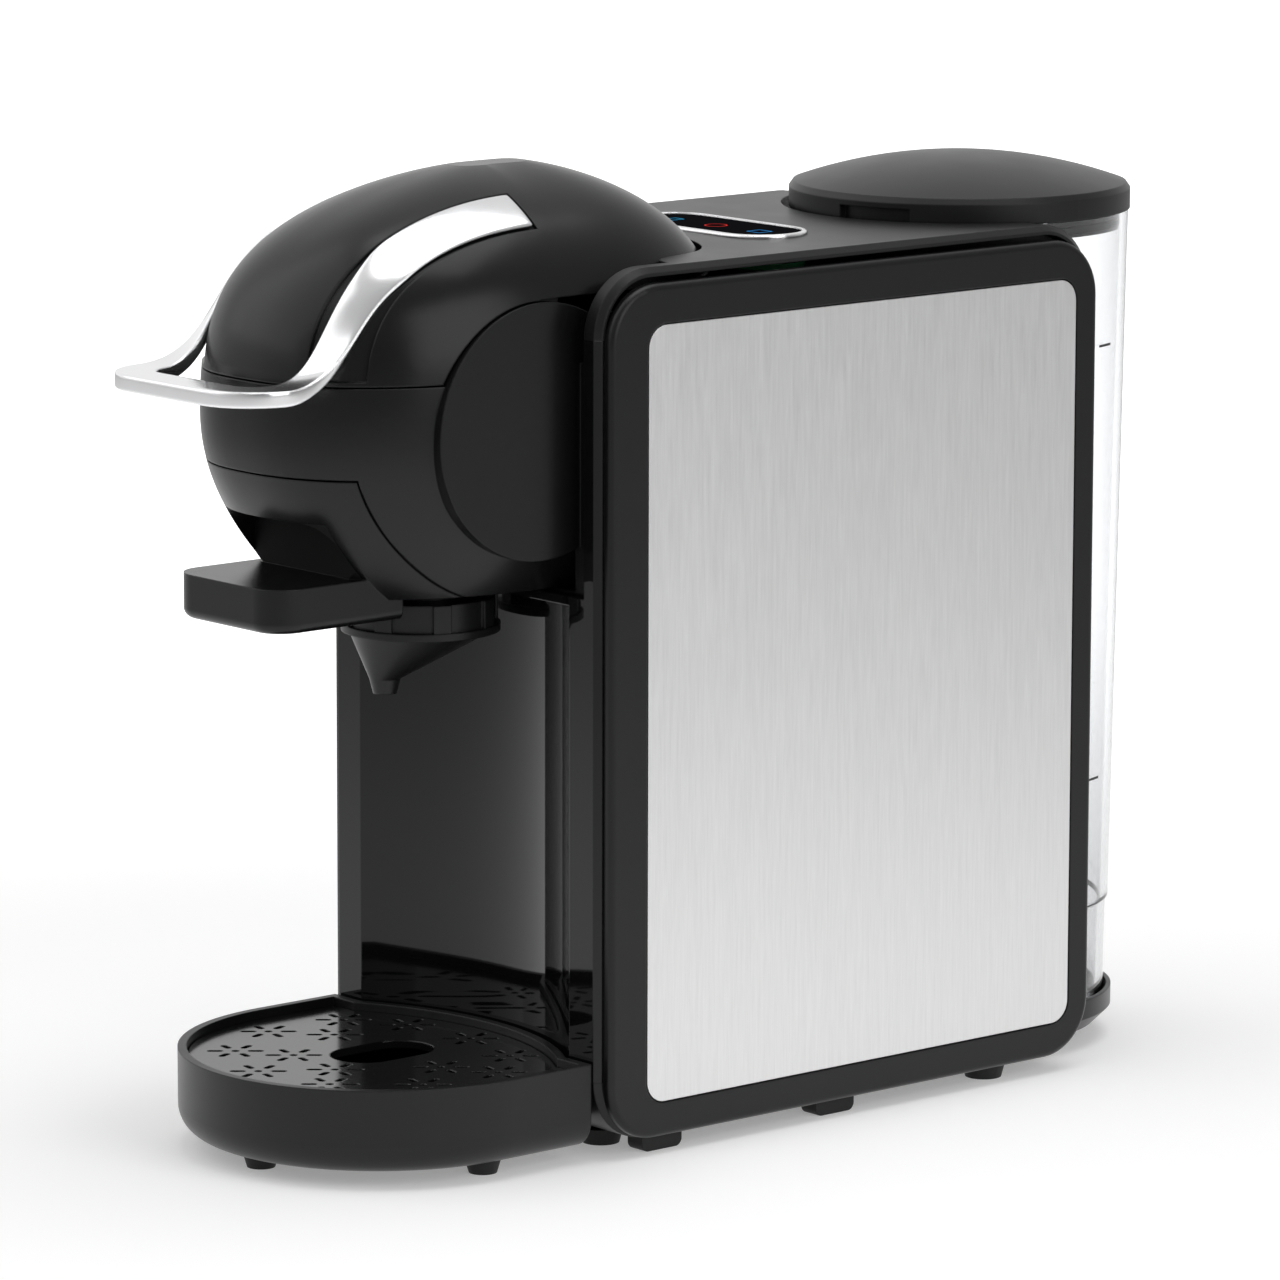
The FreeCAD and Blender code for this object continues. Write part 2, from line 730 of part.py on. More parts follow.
def inlet_hose():
    x = METER_X - METER_PORT
    y = CHASSIS_BACK + METER_DEEP / 2
    z = FLOOR_TOP + HOSE_R + HOSE_CLEAR
    start = TANK_Y - math.sqrt(SEAT_R ** 2 - (x - HOSE_R) ** 2)
    end = METER_Z - math.sqrt(METER_R ** 2 - (METER_X - x + HOSE_R) ** 2)
    tube = hose([V(x, start + HOSE_R, z), V(x, y, z), V(x, y, end + HOSE_R)])
    return tube.cut(nest(SEAT_R, 0, CORE_TOP)).cut(meter_drum())


def pump_hose():
    y = CHASSIS_BACK + METER_DEEP / 2
    x = COIL_RIGHT - HOSE_R - 2 * HOSE_CLEAR
    top = COIL_LOW + 2 * COIL_HALF
    tube = hose([V(METER_X - METER_R + HOSE_R, y, METER_Z), V(x, y, METER_Z), V(x, y, top)])
    return tube.cut(meter_drum())


def heater_hose():
    x = (PUMP_LEFT + COIL_LEFT) / 2
    tube, bore = [post(r, x, PUMP_Y, PUMP_Z, HEATER_LOW) for r in (HOSE_R, HOSE_BORE)]
    return tube.cut(bore).cut(cross_post(PUMP_R, PUMP_LEFT, PUMP_RIGHT, PUMP_Y, PUMP_Z))


def brew_hose():
    x = -(CHASSIS_HALF + FLANGE_IN) / 2 - 2 * HOSE_R
    y = CHASSIS_BACK + HEATER_DEEP / 2
    z = HEATER_LOW + 2 * HOSE_BEND
    turn = HEAD_BACK - HOSE_R
    high = FLANGE_LOW + HOSE_R + HOSE_CLEAR
    return hose([V(-HEATER_HALF, y, z), V(x, y, z), V(x, turn, z), V(x, turn, high), V(x, FLANGE_BACK, high)])


def drawer_zone(gap):
    """The drawer's bay: up to its seam in front of the deck, and under the deck behind."""
    front = mid_box(BAY_HALF - gap, BAR_FRONT, DECK_FRONT - gap, 0, DRAWER_SEAM - gap)
    under = mid_box(BAY_HALF - gap, DECK_FRONT - gap, BAY_BACK - gap, 0, DECK_Z - gap)
    return fuse([front, under])


def head_flange():
    """Plate behind the column's front wall that the head is screwed to."""
    plate = mid_box(FLANGE_HALF, CORE_FRONT + WALL, FLANGE_BACK, FLANGE_LOW, FLANGE_TOP)
    plate = plate.cut(mid_box(FLANGE_IN, CORE_FRONT, 0, HEAD_FLOOR, FLANGE_TOP))
    plate = plate.cut(hollow(HOLLOW_R + WALL, 0, HOLLOW_TOP))
    holes = [cross_screw(s * HEAD_SCREW_X, z, SCREW_R + SCREW_GAP) for z in HEAD_SCREW_ZS for s in (-1, 1)]
    return plate.cut(Part.makeCompound(holes))


def head_skin():
    """The head's outer wall below the lid, open for the drawer, with round sinks for the cheeks."""
    shell = FORM.common(mid_box(CORE_HALF, BAR_FRONT, HEAD_BACK, HEAD_FLOOR, LID_SEAM - SEAM_GAP))
    shell = shell.cut(LINING.common(mid_box(CORE_HALF, BAR_FRONT, 0, HEAD_FLOOR + HEAD_WALL, HEAD_TOP)))
    shell = shell.cut(mid_box(FLANGE_HALF, CORE_FRONT, 0, 0, HOLLOW_TOP)).cut(drawer_zone(0))
    sink = cross_post(CHEEK_R, CHEEK_OUT, CORE_HALF, HINGE_Y, HINGE_Z)
    return shell.cut(sink).cut(sink.mirror(V(0, 0, 0), V(1, 0, 0)))


def cheek_rims():
    """Rings about the cheeks that join them to the head's skin."""
    ring = hinge_roll(CHEEK_R + HEAD_WALL, CORE_HALF).cut(hinge_roll(CHEEK_R, CORE_HALF))
    ring = ring.cut(hinge_roll(CORE_HALF, CHEEK_IN)).common(FORM)
    return ring.common(mid_box(CORE_HALF, BAR_FRONT, HEAD_BACK, HEAD_FLOOR, LID_SEAM - SEAM_GAP))


def head_body():
    cheeks = both_sides(lambda: cross_post(CHEEK_R, CHEEK_IN, CHEEK_OUT, HINGE_Y, HINGE_Z))
    deck_top = DECK_Z + DECK_THICK
    inside = LINING.common(mid_box(CORE_HALF, BAR_FRONT, HEAD_BACK, HEAD_FLOOR, HEAD_TOP))
    deck = inside.common(mid_box(CORE_HALF, DECK_FRONT, HEAD_BACK, DECK_Z, deck_top))
    top = CARRIER_Z - RUNNER_GAP
    rails = both_sides(lambda: box(RUNNER_IN, BAY_HALF, HINGE_Y - CUP_R, HEAD_BACK, top - RUNNER_THICK, top))
    out = BAY_HALF + BAY_WALL
    bay = both_sides(lambda: box(BAY_HALF, out, BAR_FRONT, HEAD_BACK, HEAD_FLOOR, DRAWER_SEAM))
    bay = [wall.common(FORM) for wall in bay]
    body = fuse([head_skin(), deck, cheek_rims(), head_flange()] + rails + bay + cheeks)
    ring_seat = post(RING_FLANGE_R + SEAM_GAP, 0, POD_Y, deck_top, deck_top + 2 * RING_FLANGE)
    body = body.cut(post(RING_R, 0, POD_Y, DECK_Z, deck_top)).cut(ring_seat)
    return body.cut(hinge_roll(SHAFT_R + SHAFT_GAP, SHAFT_HALF + 2 * SHAFT_GAP))


def head_screws():
    screws = []
    for z in HEAD_SCREW_ZS:
        for side in (-1, 1):
            x = side * HEAD_SCREW_X
            shank = rear_post(SCREW_R, 2 * WALL - SCREW_SKIN, x, CORE_FRONT + SCREW_SKIN, z)
            screws.append(fuse([shank, rear_post(SCREW_HEAD_R, SCREW_HEAD, x, FLANGE_BACK, z)]))
    return screws


def brew_ring():
    flange = DECK_Z + DECK_THICK
    return spin([(RING_BORE, RING_LOW), (RING_R, RING_LOW), (RING_R, flange), (RING_FLANGE_R, flange),
                 (RING_FLANGE_R, flange + RING_FLANGE), (RING_BORE, flange + RING_FLANGE)], 0, POD_Y)


def lid_shell():
    shell = FORM.common(mid_box(CORE_HALF, BAR_FRONT, CORE_REAR, LID_SEAM, HEAD_TOP + HEAD_WALL))
    shell = shell.cut(LINING).cut(handle_channel())
    shell = shell.cut(mid_box(CORE_HALF, HINGE_Y, CORE_REAR, 0, LID_REAR_SEAM))
    for x0 in (RIB_IN, -CORE_HALF):
        shell = shell.cut(cross_post(CHEEK_R + SEAM_GAP, x0, x0 + CORE_HALF - RIB_IN, HINGE_Y, HINGE_Z))
    return shell


def lid_ribs():
    """Two plates from the hinge shaft up to the lid's inner skin."""
    skin = head_form(-HEAD_WALL - SKIN_GAP)

    def rib():
        hub = cross_post(HUB_R, RIB_IN, RIB_OUT, HINGE_Y, HINGE_Z)
        web = box(RIB_IN, RIB_OUT, HINGE_Y - RIB_HALF, HINGE_Y + RIB_HALF, HINGE_Z, HEAD_TOP).common(skin)
        return fuse([hub, web]).cut(hinge_roll(SHAFT_R, CORE_HALF))
    return both_sides(rib)


def lid_cams():
    def cam():
        x0, x1 = CAM_X - CAM_HALF, CAM_X + CAM_HALF
        hub = cross_post(CAM_HUB_R, x0, x1, HINGE_Y, HINGE_Z)
        tip = cross_post(CAM_TIP_R, x0, x1, HINGE_Y, HINGE_Z - CAM_THROW)
        neck = box(x0, x1, HINGE_Y - CAM_TIP_R, HINGE_Y + CAM_TIP_R, HINGE_Z - CAM_THROW, HINGE_Z)
        return fuse([hub, tip, neck]).cut(hinge_roll(SHAFT_R, CORE_HALF))
    return both_sides(cam)


def hinge_shaft():
    return hinge_roll(SHAFT_R, SHAFT_HALF)


def handle_plan(grow):
    """The handle seen from above, as tall as the head: a U that is open at the rear."""
    low, high = HEAD_FLOOR, HEAD_TOP + HEAD_WALL
    front, back, rear = BAR_FRONT - grow, BAR_BACK + grow, ARM_REAR + grow
    outer = mid_box(ARM_OUTER + grow, front, rear, low, high)
    inner = mid_box(ARM_INNER - grow, back, rear, low, high)
    return round_front(outer, front, BAR_CORNER).cut(round_front(inner, back, BAR_INNER_CORNER))


def handle_channel():
    """Shallow channel in the lid's crown that the handle's arms lie in."""
    above = mid_box(CORE_HALF, BAR_FRONT, CORE_REAR, BAR_TOP, HEAD_TOP)
    return FORM.cut(head_form(-ARM_INLAY)).common(above).common(handle_plan(ARM_GAP))


def handle_sweep():
    """Curved web that carries each arm from the crown forward into the bar."""
    points = [V(-CORE_HALF, y, z) for y, z in BAR_SWEEP]
    curve = Part.BSplineCurve()
    curve.interpolate(points)
    low = V(-CORE_HALF, points[0].y, BAR_TOP)
    base = Part.makePolygon([points[-1], low, points[0]])
    return Part.Face(Part.Wire([curve.toShape()] + base.Edges)).extrude(V(2 * CORE_HALF, 0, 0))


def handle():
    low = BAR_TOP - BAR_THICK
    arms = head_form(ARM_PROUD).common(mid_box(CORE_HALF, BAR_FRONT, CORE_REAR, low, HEAD_TOP + HEAD_WALL))
    bar = mid_box(CORE_HALF, BAR_FRONT, BAR_SWEEP[0][0], low, BAR_TOP)
    body = handle_plan(0).common(arms.fuse([bar, handle_sweep()]))
    below = head_form(SKIN_GAP).common(mid_box(CORE_HALF, BAR_FRONT, CORE_REAR, HEAD_FLOOR, BAR_TOP))
    return body.cut(below).cut(head_form(SKIN_GAP - ARM_INLAY))


def brew_piston():
    top = PISTON_LOW + PISTON_THICK
    groove = PISTON_R - GROOVE_DEPTH
    low = PISTON_LOW + GROOVE_WIDTH
    return spin([(0, PISTON_LOW), (PISTON_R, PISTON_LOW), (PISTON_R, low), (groove, low),
                 (groove, low + GROOVE_WIDTH), (PISTON_R, low + GROOVE_WIDTH), (PISTON_R, top),
                 (PISTON_BOSS_R, top), (PISTON_BOSS_R, PISTON_TOP), (0, PISTON_TOP)], 0, POD_Y)


def piston_seal():
    low = PISTON_LOW + GROOVE_WIDTH
    inner = PISTON_R - GROOVE_DEPTH
    high = low + GROOVE_WIDTH
    return spin([(inner, low), (PISTON_R, low), (PISTON_R, high), (inner, high)], 0, POD_Y)


def piercing_needles():
    points = []
    for i in range(NEEDLE_COUNT):
        turn = 2 * math.pi * i / NEEDLE_COUNT
        at = V(NEEDLE_RING * math.sin(turn), POD_Y + NEEDLE_RING * math.cos(turn), PISTON_LOW)
        points.append(Part.makeCone(NEEDLE_R, NEEDLE_POINT, NEEDLE_TALL, at, V(0, 0, -1)))
    return points


def drawer_carrier():
    skin = head_form(-FASCIA_WALL - SKIN_GAP)
    top = CARRIER_Z + CARRIER_THICK
    plate = skin.common(mid_box(BAY_HALF - CARRIER_GAP, BAR_FRONT, CARRIER_REAR, CARRIER_Z, top))
    return plate.cut(window(RECESS_WALL + SKIN_GAP)).cut(post(CUP_R, 0, POD_Y, CARRIER_Z, top))


def shelf():
    low = HINGE_Y - CUP_R
    block = mid_box(SHELF_HALF, SHELF_FRONT, low, SHELF_LOW, SHELF_TOP)
    block = round_front(block, SHELF_FRONT, SHELF_CORNER)
    rim = [e for e in block.Edges if e.BoundBox.ZMax < SHELF_LOW + TOUCH and e.BoundBox.YMax < low - TOUCH]
    return block.makeFillet(SHELF_EDGE, rim)


def window(grow):
    """Arched recess through the fascia above the shelf, or the shell about it when grown."""
    half, top, back = WINDOW_HALF + grow, WINDOW_TOP + grow, RECESS_BACK + grow
    arch = mid_box(half, BAR_FRONT, back, SHELF_TOP - grow, top)
    edges = [e for e in edges_along(arch, V(0, 1, 0)) if e.CenterOfMass.z > top - TOUCH]
    return arch.makeFillet(WINDOW_CORNER + grow, edges)


def drawer_fascia():
    zone = drawer_zone(SEAM_GAP)
    skin = FORM.common(zone).common(mid_box(CORE_HALF, BAR_FRONT, 0, HEAD_FLOOR, DRAWER_SEAM))
    above = mid_box(CORE_HALF, BAR_FRONT, 0, HEAD_FLOOR + FASCIA_WALL, HEAD_TOP)
    inside = head_form(-FASCIA_WALL).common(above)
    ledge = shelf().common(zone).cut(inside)
    body = fuse([skin.cut(inside), ledge, window(RECESS_WALL).common(FORM)]).cut(window(0))
    return body.cut(post(NECK_R, 0, POD_Y, HEAD_FLOOR, HEAD_FLOOR + FASCIA_WALL))


def pod_cup():
    rest = CARRIER_Z + CARRIER_THICK
    inner = CUP_R - CUP_WALL
    return spin([(NECK_BORE, CUP_FLOOR), (CUP_R, CUP_FLOOR), (CUP_R, rest), (CUP_FLANGE_R, rest),
                 (CUP_FLANGE_R, rest + CUP_FLANGE), (inner, rest + CUP_FLANGE), (inner, CUP_FLOOR + CUP_WALL),
                 (NECK_BORE, CUP_FLOOR + CUP_WALL)], 0, POD_Y)


def outlet_plate():
    low = CUP_FLOOR + CUP_WALL
    plate = post(OUTLET_R, 0, POD_Y, low, low + OUTLET_THICK)
    holes = []
    for i in range(PETAL_COUNT * 2):
        turn = math.pi * i / PETAL_COUNT
        x, y = math.cos(turn) * OUTLET_R / 2, POD_Y + math.sin(turn) * OUTLET_R / 2
        holes.append(post(NEEDLE_R, x, y, low, low + OUTLET_THICK))
    return plate.cut(Part.makeCompound(holes))


def funnel_cone(thin):
    """Slanting cone from under the pod to the spout, thinned for its inside."""
    rings = ((POD_Y, FUNNEL_Z, FUNNEL_R - FUNNEL_RIM), (SPOUT_Y, SPOUT_Z, SPOUT_R),
             (SPOUT_Y, SPOUT_TIP, SPOUT_TIP_R))
    wires = [Part.Wire([Part.makeCircle(r - thin, V(0, y, z))]) for y, z, r in rings]
    return Part.makeLoft(wires, True, True)


def funnel_clip(i):
    """One of the upright clips round the funnel's collar."""
    clip = mid_box(CLIP_HALF, NECK_R, COLLAR_R + CLIP_PROUD, FUNNEL_Z + FUNNEL_RIM, COLLAR_TOP)
    clip.rotate(V(0, 0, 0), V(0, 0, 1), 360 * (i + 0.5) / CLIP_COUNT)
    clip.translate(V(0, POD_Y, 0))
    return clip


def spout_funnel():
    neck = post(NECK_R, 0, POD_Y, FUNNEL_Z, CUP_FLOOR)
    rim = post(FUNNEL_R, 0, POD_Y, FUNNEL_Z, FUNNEL_Z + FUNNEL_RIM)
    collar = post(COLLAR_R, 0, POD_Y, FUNNEL_Z, COLLAR_TOP)
    body = fuse([neck, rim, collar, funnel_cone(0)] + [funnel_clip(i) for i in range(CLIP_COUNT)])
    return body.cut(post(NECK_BORE, 0, POD_Y, FUNNEL_Z, CUP_FLOOR)).cut(funnel_cone(SPOUT_WALL))


def low_edges(shape, z):
    return [e for e in shape.Edges if e.BoundBox.ZMax < z + TOUCH]


def tray_plan(inset, z0, z1):
    """Tray seen from above: round in front, straight sides, a bulge into the column's hollow."""
    back = CORE_FRONT - TRAY_GAP - inset
    bulge_r = HOLLOW_R - TRAY_GAP - inset
    round_part = post(TRAY_R - inset, 0, TRAY_Y, z0, z1)
    straight = mid_box(TRAY_R - inset, TRAY_Y, back, z0, z1)
    reach = math.sqrt(bulge_r ** 2 - (back - HOLLOW_Y) ** 2)
    bulge = post(bulge_r, 0, HOLLOW_Y, z0, z1).common(mid_box(reach, TRAY_Y, CORE_REAR, z0, z1))
    front = mid_box(TRAY_R, BAR_FRONT, back, z0, z1)
    return fuse([round_part.common(front), straight, bulge])


def tray_bowl(inset, low, edge):
    """The tray's plan with a rounded lower edge at its front and sides."""
    body = tray_plan(inset, low, TRAY_RIM)
    back = CORE_FRONT - TRAY_GAP - inset
    edges = [e for e in low_edges(body, low) if e.BoundBox.YMin < TRAY_Y + TOUCH]
    edges = [e for e in edges if e.BoundBox.XLength > TOUCH or e.BoundBox.YMax < back + TOUCH]
    return body.makeFillet(edge, edges)


def drip_tray():
    body = tray_bowl(0, TRAY_BOTTOM, TRAY_EDGE)
    inside = tray_bowl(TRAY_WALL, TRAY_BOTTOM + TRAY_FLOOR, TRAY_EDGE - TRAY_WALL)
    ledge_top = GRID_LOW - LEDGE_GAP
    ledge = tray_plan(TRAY_WALL, ledge_top - LEDGE_THICK, ledge_top)
    ledge = ledge.cut(tray_plan(TRAY_WALL + LEDGE_WIDTH, ledge_top - LEDGE_THICK, ledge_top))
    return fuse([body.cut(inside), ledge])


def tray_feet():
    spots = ((0, TRAY_Y - TRAY_FOOT_FRONT), (TRAY_FOOT_SIDE, TRAY_Y), (-TRAY_FOOT_SIDE, TRAY_Y))
    return [foot(TRAY_FOOT_R, x, y, TRAY_BOTTOM) for x, y in spots]


def petal(cx, cy, turn):
    """One slot of a flower, as a wire on the grid's lower face."""
    half = (PETAL_OUT - PETAL_IN) / 2
    wire = obround_wire(half, PETAL_WIDTH / 2, half + PETAL_IN, 0, GRID_LOW)
    wire.rotate(V(0, 0, 0), V(0, 0, 1), turn)
    wire.translate(V(cx, cy, 0))
    return wire


def flower_spots():
    """Places of the flowers: a ring of them, drawn in along the rear edge, and four about the hole."""
    turns = [FLOWER_TURN + 360 * i / FLOWER_COUNT for i in range(FLOWER_COUNT)]
    rings = [(FLOWER_RING, t) for t in turns] + [(INNER_RING, t) for t in INNER_TURNS]
    edge = HOLLOW_R - TRAY_GAP - TRAY_WALL - GRID_GAP - PETAL_OUT - FLOWER_MARGIN
    spots = []
    for r, turn in rings:
        x = r * math.cos(math.radians(turn))
        y = TRAY_Y + r * math.sin(math.radians(turn))
        spots.append((x, min(y, HOLLOW_Y + math.sqrt(edge ** 2 - x ** 2))))
    return spots


def drip_grid():
    plate = tray_plan(TRAY_WALL + GRID_GAP, GRID_LOW, GRID_TOP)
    wires = [obround_wire(GRID_OVAL_X / 2, GRID_OVAL_Y / 2, 0, TRAY_Y, GRID_LOW)]
    for x, y in flower_spots():
        wires += [petal(x, y, PETAL_TURN + i * 360 / PETAL_COUNT) for i in range(PETAL_COUNT)]
        wires.append(Part.Wire([Part.makeCircle(FLOWER_DOT, V(x, y, GRID_LOW))]))
    return plate.cut(Part.makeCompound([Part.Face(w).extrude(V(0, 0, GRID_THICK)) for w in wires]))


def tank_r(z):
    """Outer radius of the tank's tapering wall."""
    return TANK_FOOT_R + (TANK_R - TANK_FOOT_R) * (z - TANK_BOTTOM) / (TANK_RIM - TANK_BOTTOM)


def water_tank():
    step = tank_r(TANK_STEP)
    floor = TANK_BOTTOM + TANK_FLOOR
    thin = TANK_WALL + TANK_STEP_IN
    return spin([(VALVE_R + VALVE_GAP, TANK_BOTTOM), (TANK_FOOT_R - TANK_STEP_IN, TANK_BOTTOM),
                 (step - TANK_STEP_IN, TANK_STEP), (step, TANK_STEP + TANK_STEP_IN), (TANK_R, TANK_RIM),
                 (TANK_R - TANK_WALL, TANK_RIM), (step - TANK_WALL, TANK_STEP + TANK_STEP_IN),
                 (step - thin, TANK_STEP), (TANK_FOOT_R - thin, floor), (VALVE_R + VALVE_GAP, floor)],
                0, TANK_Y)


def valve_body():
    flange = TANK_BOTTOM + TANK_FLOOR
    low = TANK_BOTTOM - SEAT_GAP - SOCKET_DEPTH + SEAL_THICK + SEAT_GAP
    top = flange + VALVE_FLANGE
    return spin([(VALVE_BORE, low), (VALVE_R, low), (VALVE_R, flange), (VALVE_FLANGE_R, flange),
                 (VALVE_FLANGE_R, top), (VALVE_BORE, top)], 0, TANK_Y)


def valve_poppet():
    top = TANK_BOTTOM + TANK_FLOOR + VALVE_FLANGE + VALVE_GAP
    stem = VALVE_BORE - VALVE_GAP
    return spin([(0, TANK_BOTTOM), (stem, TANK_BOTTOM), (stem, top), (POPPET_HEAD_R, top),
                 (POPPET_HEAD_R, top + POPPET_HEAD), (0, top + POPPET_HEAD)], 0, TANK_Y)


def tank_filter():
    low = TANK_BOTTOM + TANK_FLOOR + VALVE_FLANGE
    top = low + FILTER_TALL
    inner = FILTER_R - FILTER_WALL
    return spin([(inner, low), (FILTER_R, low), (FILTER_R, top), (0, top), (0, top - FILTER_WALL),
                 (inner, top - FILTER_WALL)], 0, TANK_Y)


def skirt_r():
    return TANK_R - TANK_WALL - SKIRT_GAP


def tank_lid():
    low = TANK_RIM + LID_LIFT
    shoulder = low + LID_RIM_TALL
    crown = low + LID_CROWN
    r = skirt_r()
    groove = r - GROOVE_WIDTH / 2
    seal_low = low - SKIRT_TALL + GROOVE_WIDTH / 2
    rim = spin([(0, shoulder), (0, shoulder - LID_WALL), (r - LID_WALL, shoulder - LID_WALL),
                (r - LID_WALL, low - SKIRT_TALL), (r, low - SKIRT_TALL), (r, seal_low), (groove, seal_low),
                (groove, seal_low + GROOVE_WIDTH), (r, seal_low + GROOVE_WIDTH), (r, low), (LID_RIM_R, low),
                (LID_RIM_R, shoulder)], 0, TANK_Y)
    ball_r = (LID_RIM_R ** 2 + (crown - shoulder) ** 2) / (2 * (crown - shoulder))
    ball = Part.makeSphere(ball_r, V(0, TANK_Y, crown - ball_r))
    lid = fuse([rim, ball.common(nest(LID_RIM_R, shoulder, crown + WALL))])
    flat = [e for e in lid.Edges if e.BoundBox.ZLength < TOUCH]
    lid = lid.makeChamfer(LID_EDGE, [e for e in flat if abs(e.CenterOfMass.z - shoulder) < TOUCH])
    swing = NOTCH_END - NOTCH_START
    notch = Part.makeCylinder(LID_RIM_R + WALL, NOTCH_TALL, V(0, TANK_Y, low), V(0, 0, 1), swing)
    notch = notch.cut(nest(LID_RIM_R - NOTCH_DEPTH, low, low + NOTCH_TALL))
    notch.rotate(V(0, TANK_Y, 0), V(0, 0, 1), NOTCH_START - 90)
    return lid.cut(notch)


def tank_lid_seal():
    low = TANK_RIM + LID_LIFT - SKIRT_TALL + GROOVE_WIDTH / 2
    inner = skirt_r() - GROOVE_WIDTH / 2
    outer = skirt_r() + LID_SEAL_PROUD
    high = low + GROOVE_WIDTH
    return spin([(inner, low), (outer, low), (outer, high), (inner, high)], 0, TANK_Y)


os.makedirs("parts", exist_ok=True)
for make in (base_plate, front_cover, top_cover, rear_cover, cord_gland, control_bezel, control_lens,
             control_board, tank_seat, seat_seal, chassis, water_pump, thermoblock, flow_meter, main_board,
             inlet_hose, pump_hose, heater_hose, brew_hose, head_body, brew_ring, lid_shell, hinge_shaft,
             handle, brew_piston, piston_seal, drawer_carrier, drawer_fascia, pod_cup, outlet_plate,
             spout_funnel, drip_tray, drip_grid, water_tank, valve_body, valve_poppet, tank_filter,
             tank_lid, tank_lid_seal):
    write(make.__name__, make())
for make in (round_feet, side_feet, base_screws, pump_mounts, head_screws, lid_ribs, lid_cams,
             piercing_needles, tray_feet):
    write(make.__name__, *make())
for make in (side_cover, side_plate):
    for side, shape in zip(("right", "left"), both_sides(make)):
        write(make.__name__ + "_" + side, shape)
for i, name in enumerate(("light_left", "light_middle", "light_right")):
    write(name, light_disc(i))
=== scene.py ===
import bpy
import math
from mathutils import Matrix, Vector


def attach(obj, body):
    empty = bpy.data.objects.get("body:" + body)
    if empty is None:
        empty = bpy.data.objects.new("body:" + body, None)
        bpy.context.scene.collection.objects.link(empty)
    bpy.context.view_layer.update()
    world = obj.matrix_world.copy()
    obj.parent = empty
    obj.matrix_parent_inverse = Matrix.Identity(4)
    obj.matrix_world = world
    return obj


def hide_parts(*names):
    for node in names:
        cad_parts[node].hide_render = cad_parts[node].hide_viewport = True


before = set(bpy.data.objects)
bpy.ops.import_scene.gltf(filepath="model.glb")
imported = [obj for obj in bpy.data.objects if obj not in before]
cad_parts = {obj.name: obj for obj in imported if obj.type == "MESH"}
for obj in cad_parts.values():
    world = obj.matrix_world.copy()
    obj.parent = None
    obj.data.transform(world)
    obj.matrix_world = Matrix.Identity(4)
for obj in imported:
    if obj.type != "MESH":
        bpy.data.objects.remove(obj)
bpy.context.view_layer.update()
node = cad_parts
bpy.ops.object.select_all(action="DESELECT")


# Base plate, rear cover and cord inlet: the moulded floor and back that carry everything else.
# They are satin black plastic with a fine moulded grain and a cloudy, uneven gloss.
# Plain steel screws hold them together from below.
class Value:
    """A shader socket that takes part in plain arithmetic and comparison."""

    def __init__(self, nodes, socket):
        self.nodes = nodes
        self.socket = socket

    def math(self, operation, *terms):
        return self.nodes.node("Math", {"operation": operation}, dict(enumerate(terms)))

    def __add__(self, other):
        return self.math("ADD", self, other)

    def __radd__(self, other):
        return self.math("ADD", other, self)

    def __sub__(self, other):
        return self.math("SUBTRACT", self, other)

    def __rsub__(self, other):
        return self.math("SUBTRACT", other, self)

    def __mul__(self, other):
        return self.math("MULTIPLY", self, other)

    def __rmul__(self, other):
        return self.math("MULTIPLY", other, self)

    def __pow__(self, other):
        return self.math("POWER", self, other)

    def __rpow__(self, other):
        return self.math("POWER", other, self)

    def __lt__(self, other):
        return self.math("LESS_THAN", self, other)

    def __gt__(self, other):
        return self.math("GREATER_THAN", self, other)

    def __abs__(self):
        return self.math("ABSOLUTE", self)


class Nodes:
    """A node tree whose nodes all come from one method."""

    def __init__(self, tree):
        self.tree = tree

    def fill(self, place, value):
        """Links a value to a socket, or sets the socket to a plain number or colour."""
        if isinstance(value, Value):
            self.tree.links.new(value.socket, place)
        else:
            place.default_value = value

    def node(self, kind, settings={}, sockets={}, out=0):
        """Adds a node, sets it up, fills its sockets by name or number, and gives an output."""
        made = self.tree.nodes.new("ShaderNode" + kind)
        for name, value in settings.items():
            setattr(made, name, value)
        for name, value in sockets.items():
            self.fill(made.inputs[name], value)
        return Value(self, made.outputs[out])

    def axis(self, place, letter):
        return self.node("SeparateXYZ", {}, {"Vector": place}, letter)


class Finish(Nodes):
    """A material on one surface shader, with its pattern nodes."""

    def __init__(self, name, color, roughness, **constants):
        self.material = bpy.data.materials.new(name)
        self.material.use_nodes = True
        super().__init__(self.material.node_tree)
        self.surface = self.tree.nodes["Principled BSDF"]
        self.feed("Base Color", (*color, 1))
        self.feed("Roughness", roughness)
        for socket, value in constants.items():
            self.feed(socket.replace("_", " "), value)

    def feed(self, socket, value):
        self.fill(self.surface.inputs[socket], value)

    def place(self):
        """The point's place on the piece, in the machine's own frame."""
        return self.node("TexCoord", {}, {}, "Object")

    def noise(self, stretch, detail=3):
        """Noise with its grain per metre on each axis."""
        place = self.node("Mapping", {}, {"Vector": self.place(), "Scale": stretch})
        return self.node("TexNoise", {}, {"Vector": place, "Scale": 1, "Detail": detail})

    def tint(self, mask, low, high):
        """Base colour that goes from one colour to another with a mask."""
        colors = {0: mask, 6: (*low, 1), 7: (*high, 1)}
        self.feed("Base Color", self.node("Mix", {"data_type": "RGBA"}, colors, 2))

    def soften(self, radius, height=None, depth=0):
        """Rounds sharp edges in the shading, under an optional relief."""
        edge = self.node("Bevel", {"samples": 4}, {"Radius": radius})
        if height is not None:
            relief = {"Strength": 0.3, "Distance": depth, "Height": height, "Normal": edge}
            edge = self.node("Bump", {}, relief)
        self.feed("Normal", edge)

    def on(self, *pieces):
        for piece in pieces:
            mesh = (node[piece] if isinstance(piece, str) else piece).data
            mesh.materials.clear()
            mesh.materials.append(self.material)


